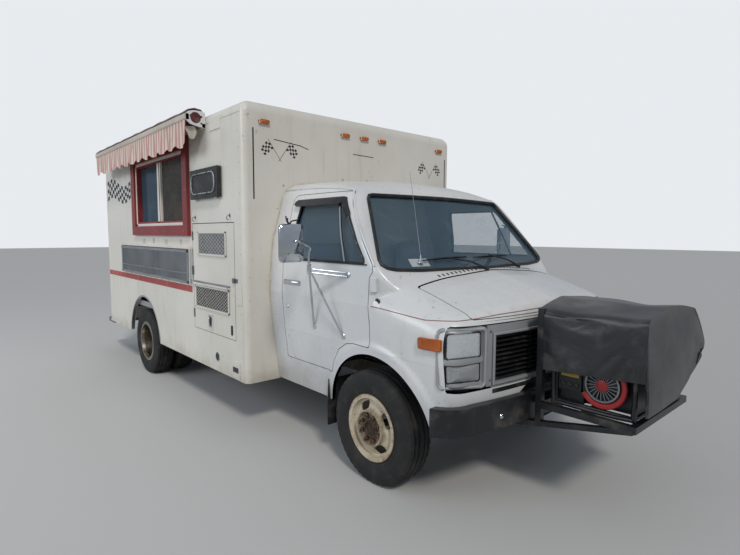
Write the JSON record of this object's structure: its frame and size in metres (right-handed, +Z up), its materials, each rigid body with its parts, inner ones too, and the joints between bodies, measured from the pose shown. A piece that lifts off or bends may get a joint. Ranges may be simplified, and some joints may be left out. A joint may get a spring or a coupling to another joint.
{
  "type": "food truck",
  "caption": "Food truck: a cutaway van cab with a box body, serving window, folding counter, side hatch, rolled awning and a covered generator on a front cradle.",
  "frame": {"origin": "on the ground below the middle of the overall box", "axes": "+X to the front of the truck, +Y to the driver's side, +Z up"},
  "size_m": [6.902, 2.758, 2.6937],
  "materials": {
    "frame_paint": "dull",
    "iron": "rough",
    "pipe": "rusty",
    "white_paint": "semi-gloss, aged",
    "glass": "clear",
    "argent": "dull silver",
    "black_paint": "satin",
    "vinyl": "coated cloth",
    "steel": "satin",
    "box_paint": "semi-gloss, aged",
    "red_paint": "gloss",
    "aluminium": "satin",
    "awning_cloth": "faded stripes",
    "seat_cloth": "worn",
    "dash_plastic": "matt",
    "wheel_paint": "chalky, rust at the edges",
    "tyre": "matt",
    "bright_wheel": "dull silver"
  },
  "bodies": {
    "chassis": {"chassis_frame": "frame_paint", "front_axle": "iron", "rear_axle": "iron", "engine_block": "iron", "exhaust": "pipe", "cab_body": "white_paint", "windshield": "glass", "grille": "argent", "front_bumper": "black_paint", "generator_frame": "black_paint", "generator": "black_paint", "generator_cover": "vinyl", "box_floor": "steel", "box_side_right": "box_paint", "box_side_left": "box_paint", "box_front": "box_paint", "box_rear": "box_paint", "box_roof": "box_paint", "serving_window": "red_paint", "window_glass": "glass", "awning": "aluminium", "awning_valance": "awning_cloth", "rear_bumper": "aluminium", "seats": "seat_cloth", "dashboard": "dash_plastic"},
    "steer_right": {"knuckle_right": "iron"},
    "steer_left": {"knuckle_left": "iron"},
    "wheel_front_right": {"rim_front_right": "wheel_paint", "tyre_front_right": "tyre"},
    "wheel_front_left": {"rim_front_left": "wheel_paint", "tyre_front_left": "tyre"},
    "wheels_rear_right": {"rim_rear_right": "bright_wheel", "tyre_rear_right_outer": "tyre", "tyre_rear_right_inner": "tyre"},
    "wheels_rear_left": {"rim_rear_left": "bright_wheel", "tyre_rear_left_outer": "tyre", "tyre_rear_left_inner": "tyre"},
    "door_right": {"door_right": "white_paint", "door_glass_right": "glass"},
    "door_left": {"door_left": "white_paint", "door_glass_left": "glass"},
    "hood": {"hood": "white_paint"},
    "rear_door": {"rear_door": "box_paint"},
    "side_hatch": {"side_hatch": "box_paint"},
    "counter_shelf": {"counter_shelf": "steel"}
  },
  "joints": [
    {"name": "steering_right", "type": "hinge", "parent": "chassis", "child": "steer_right", "pos_m": [1.995, -0.748, 0.378], "axis": [0, 0, 1], "range_deg": [-30, 30]},
    {"name": "steering_left", "type": "hinge", "parent": "chassis", "child": "steer_left", "pos_m": [1.995, 0.748, 0.378], "axis": [0, 0, 1], "range_deg": [-30, 30]},
    {"name": "spin_front_right", "type": "hinge", "parent": "steer_right", "child": "wheel_front_right", "pos_m": [1.995, -0.885, 0.378], "axis": [0, 1, 0], "continuous": true},
    {"name": "spin_front_left", "type": "hinge", "parent": "steer_left", "child": "wheel_front_left", "pos_m": [1.995, 0.885, 0.378], "axis": [0, 1, 0], "continuous": true},
    {"name": "spin_rear_right", "type": "hinge", "parent": "chassis", "child": "wheels_rear_right", "pos_m": [-1.713, -0.9925, 0.378], "axis": [0, 1, 0], "continuous": true},
    {"name": "spin_rear_left", "type": "hinge", "parent": "chassis", "child": "wheels_rear_left", "pos_m": [-1.713, 0.9925, 0.378], "axis": [0, 1, 0], "continuous": true},
    {"name": "door_right_swing", "type": "hinge", "parent": "chassis", "child": "door_right", "pos_m": [2.043, -1.012, 1.325], "axis": [0, 0, 1], "range_deg": [0, 65]},
    {"name": "door_left_swing", "type": "hinge", "parent": "chassis", "child": "door_left", "pos_m": [2.043, 1.012, 1.325], "axis": [0, 0, -1], "range_deg": [0, 65]},
    {"name": "hood_lift", "type": "hinge", "parent": "chassis", "child": "hood", "pos_m": [2.23, 0, 1.378], "axis": [0, -1, 0], "range_deg": [0, 50]},
    {"name": "rear_door_swing", "type": "hinge", "parent": "chassis", "child": "rear_door", "pos_m": [-3.19, 0.414, 1.65], "axis": [0, 0, -1], "range_deg": [0, 100]},
    {"name": "side_hatch_lift", "type": "hinge", "parent": "chassis", "child": "side_hatch", "pos_m": [0.1925, -1.226, 1.73], "axis": [-1, 0, 0], "range_deg": [0, 90]},
    {"name": "counter_lift", "type": "hinge", "parent": "chassis", "child": "counter_shelf", "pos_m": [-1.326, -1.247, 1.477], "axis": [-1, 0, 0], "range_deg": [0, 90]}
  ],
  "couplings": [
    {"joint": "steering_left", "follows": "steering_right", "ratio": 1}
  ]
}
